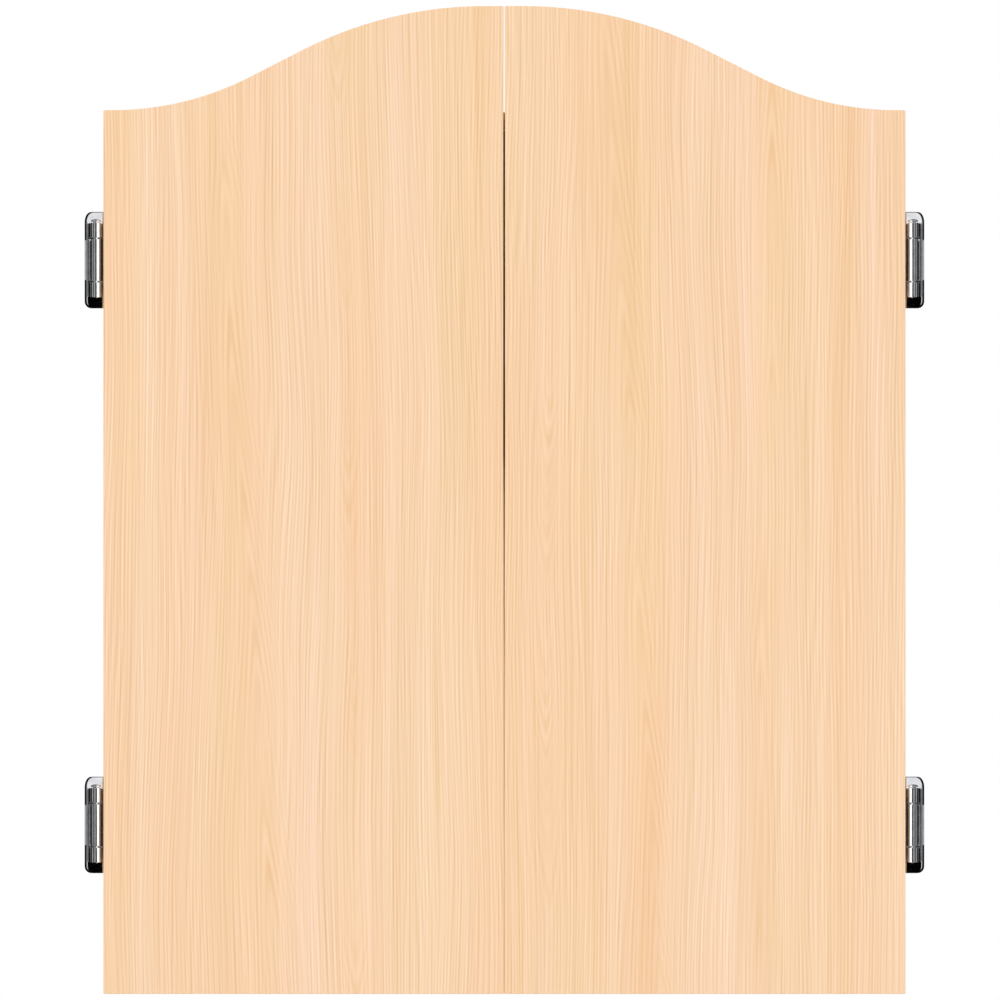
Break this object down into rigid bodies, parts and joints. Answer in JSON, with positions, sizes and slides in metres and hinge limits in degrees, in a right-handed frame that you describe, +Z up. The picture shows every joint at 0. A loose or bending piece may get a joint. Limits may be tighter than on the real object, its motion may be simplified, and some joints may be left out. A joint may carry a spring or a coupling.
{
  "type": "dart board cabinet",
  "caption": "Wall-hung wooden dart board cabinet with arched double doors on chrome barrel hinges.",
  "frame": {"origin": "centre of the back panel's rear face, on the wall plane", "axes": "+Y goes into the wall, so the doors face -Y; +Z is up; +X is to the right of a person facing the doors"},
  "size_m": [0.5238, 0.085, 0.6159],
  "materials": {
    "laminate": "satin light beech-effect laminate on fibreboard, vertical grain",
    "chrome": "polished chrome plate on hinges, pins and screws",
    "zinc_steel": "zinc-plated steel sheet",
    "score_surface": "smooth black wipe-clean sheet",
    "black_plastic": "moulded black plastic, fine texture",
    "magnet": "dark ferrite magnet with ground faces",
    "rubber": "matt black rubber",
    "black_board": "matt black-faced fibreboard"
  },
  "bodies": {
    "cabinet_box": {"back_panel": "black_board", "board_bracket": "zinc_steel", "board_spacer_left": "rubber", "board_spacer_right": "rubber", "board_spacer_top": "rubber", "bottom_panel": "laminate", "left_bracket_screw": "chrome", "left_lower_catch_magnet": "magnet", "left_lower_frame_leaf": "chrome", "left_lower_frame_screw_a": "chrome", "left_lower_frame_screw_b": "chrome", "left_lower_hinge_pin": "chrome", "left_side_panel": "laminate", "left_upper_catch_magnet": "magnet", "left_upper_frame_leaf": "chrome", "left_upper_frame_screw_a": "chrome", "left_upper_frame_screw_b": "chrome", "left_upper_hinge_pin": "chrome", "lower_catch_housing": "black_plastic", "right_bracket_screw": "chrome", "right_lower_catch_magnet": "magnet", "right_lower_frame_leaf": "chrome", "right_lower_frame_screw_a": "chrome", "right_lower_frame_screw_b": "chrome", "right_lower_hinge_pin": "chrome", "right_side_panel": "laminate", "right_upper_catch_magnet": "magnet", "right_upper_frame_leaf": "chrome", "right_upper_frame_screw_a": "chrome", "right_upper_frame_screw_b": "chrome", "right_upper_hinge_pin": "chrome", "top_panel": "laminate", "upper_catch_housing": "black_plastic"},
    "left_door_assembly": {"left_dart_holder": "black_plastic", "left_door": "laminate", "left_lower_door_leaf": "chrome", "left_lower_door_screw_a": "chrome", "left_lower_door_screw_b": "chrome", "left_lower_strike_plate": "zinc_steel", "left_scoreboard": "score_surface", "left_upper_door_leaf": "chrome", "left_upper_door_screw_a": "chrome", "left_upper_door_screw_b": "chrome", "left_upper_strike_plate": "zinc_steel"},
    "right_door_assembly": {"right_dart_holder": "black_plastic", "right_door": "laminate", "right_lower_door_leaf": "chrome", "right_lower_door_screw_a": "chrome", "right_lower_door_screw_b": "chrome", "right_lower_strike_plate": "zinc_steel", "right_scoreboard": "score_surface", "right_upper_door_leaf": "chrome", "right_upper_door_screw_a": "chrome", "right_upper_door_screw_b": "chrome", "right_upper_strike_plate": "zinc_steel"}
  },
  "joints": [
    {"name": "left_door_hinge", "type": "hinge", "parent": "cabinet_box", "child": "left_door_assembly", "pos_m": [-0.2548, -0.08165, 0], "axis": [0, 0, -1], "range_deg": [0, 180]},
    {"name": "right_door_hinge", "type": "hinge", "parent": "cabinet_box", "child": "right_door_assembly", "pos_m": [0.2548, -0.08165, 0], "axis": [0, 0, 1], "range_deg": [0, 180]}
  ]
}
